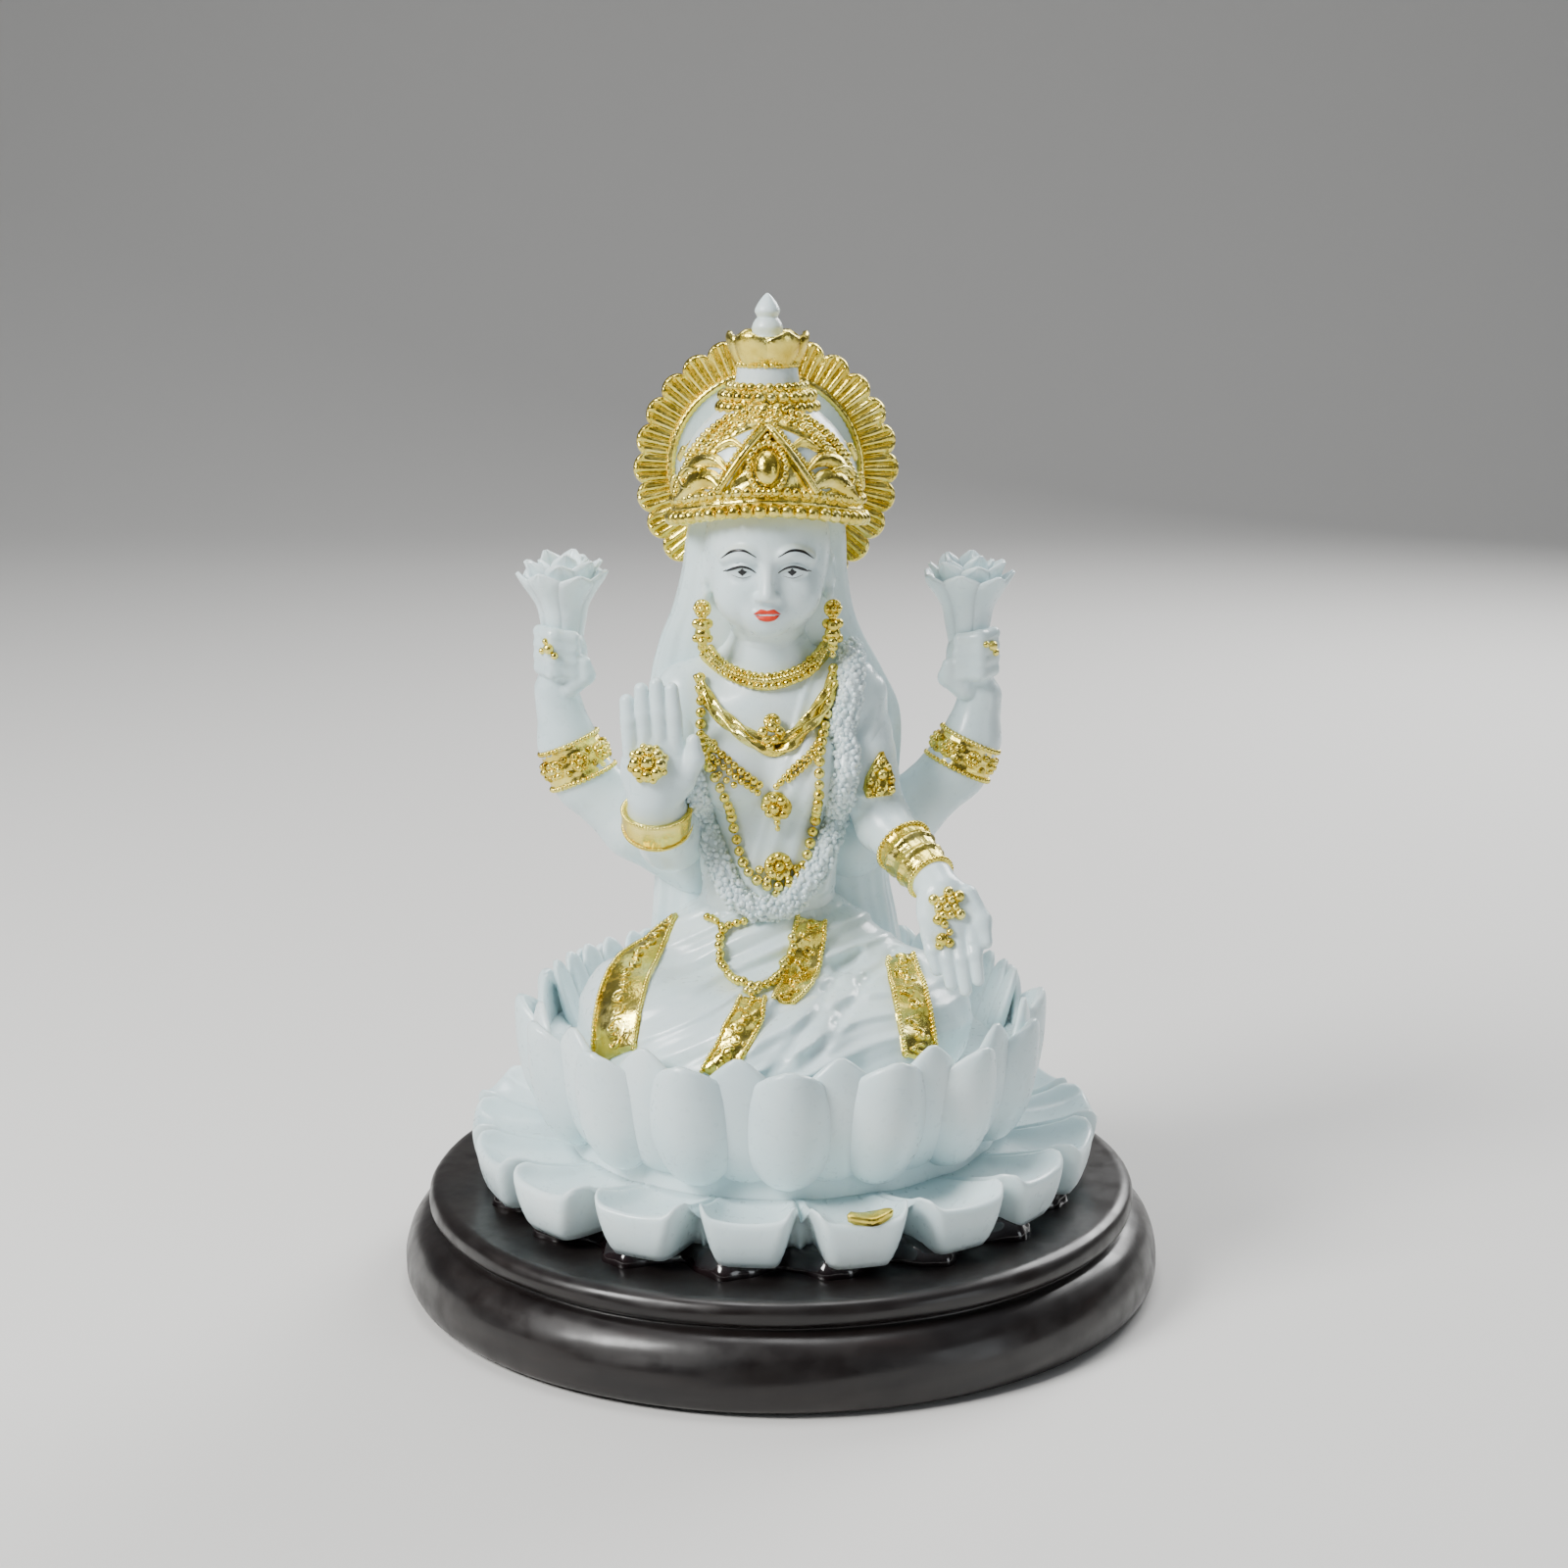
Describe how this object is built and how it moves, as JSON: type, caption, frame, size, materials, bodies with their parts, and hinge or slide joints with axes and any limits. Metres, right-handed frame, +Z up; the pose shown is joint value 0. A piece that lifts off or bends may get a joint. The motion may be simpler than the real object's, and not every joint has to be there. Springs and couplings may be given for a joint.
{
  "type": "four-armed seated deity statue",
  "caption": "White and gold four-armed deity seated on a double lotus, with halo and crown, on a round dark moulded plinth.",
  "frame": {"origin": "centre of the plinth's underside, on the surface that the statue stands on", "axes": "+Z up; the figure faces -Y; its own right hand is on -X"},
  "size_m": [0.11, 0.11, 0.1415],
  "materials": {
    "white_resin": "polished white stone-filled resin, slightly translucent, with faint cool mottling",
    "gilding": "bright yellow gold leaf or gold paint over cast relief, lightly pitted",
    "plinth_wood": "near-black brown polished lacquer with faint scuffs",
    "felt": "thin dark felt",
    "adhesive": "glossy black glue, squeezed out"
  },
  "bodies": {
    "root": {"adhesive_bead": "adhesive", "armlet_rear_left": "gilding", "armlet_rear_right": "gilding", "bangle_front_left": "gilding", "bangle_front_right": "gilding", "choker_beads": "gilding", "collar_beads": "gilding", "collar_pendant": "gilding", "crown_band": "gilding", "crown_bead_ring": "gilding", "crown_collar": "gilding", "crown_crest": "gilding", "crown_dome": "white_resin", "crown_finial": "white_resin", "crown_jewel": "gilding", "cup_bowl": "white_resin", "cup_inner_petals": "white_resin", "cup_outer_petals": "white_resin", "earring_left": "gilding", "earring_right": "gilding", "felt_pad": "felt", "front_left_arm": "white_resin", "front_left_hand": "white_resin", "front_right_arm": "white_resin", "front_right_hand": "white_resin", "garland": "white_resin", "halo_disc": "white_resin", "halo_rays": "white_resin", "halo_ring": "gilding", "hand_ornament_rear_left": "gilding", "hand_ornament_rear_right": "gilding", "head": "white_resin", "legs_drapery": "white_resin", "long_beads": "gilding", "long_pendant": "gilding", "lotus_core": "white_resin", "lotus_flower_left": "white_resin", "lotus_flower_right": "white_resin", "lotus_pod": "white_resin", "lower_petals": "white_resin", "middle_beads": "gilding", "middle_pendant": "gilding", "neck": "white_resin", "palm_ornament_left": "gilding", "palm_ornament_right": "gilding", "petal_gilding": "gilding", "plinth": "plinth_wood", "rear_left_arm": "white_resin", "rear_left_hand": "white_resin", "rear_right_arm": "white_resin", "rear_right_hand": "white_resin", "sari_band_centre": "gilding", "sari_band_left": "gilding", "sari_band_right": "gilding", "sari_band_waist": "gilding", "sleeve_ornament": "gilding", "torso": "white_resin", "veil": "white_resin", "waist_chain": "gilding"}
  },
  "joints": []
}
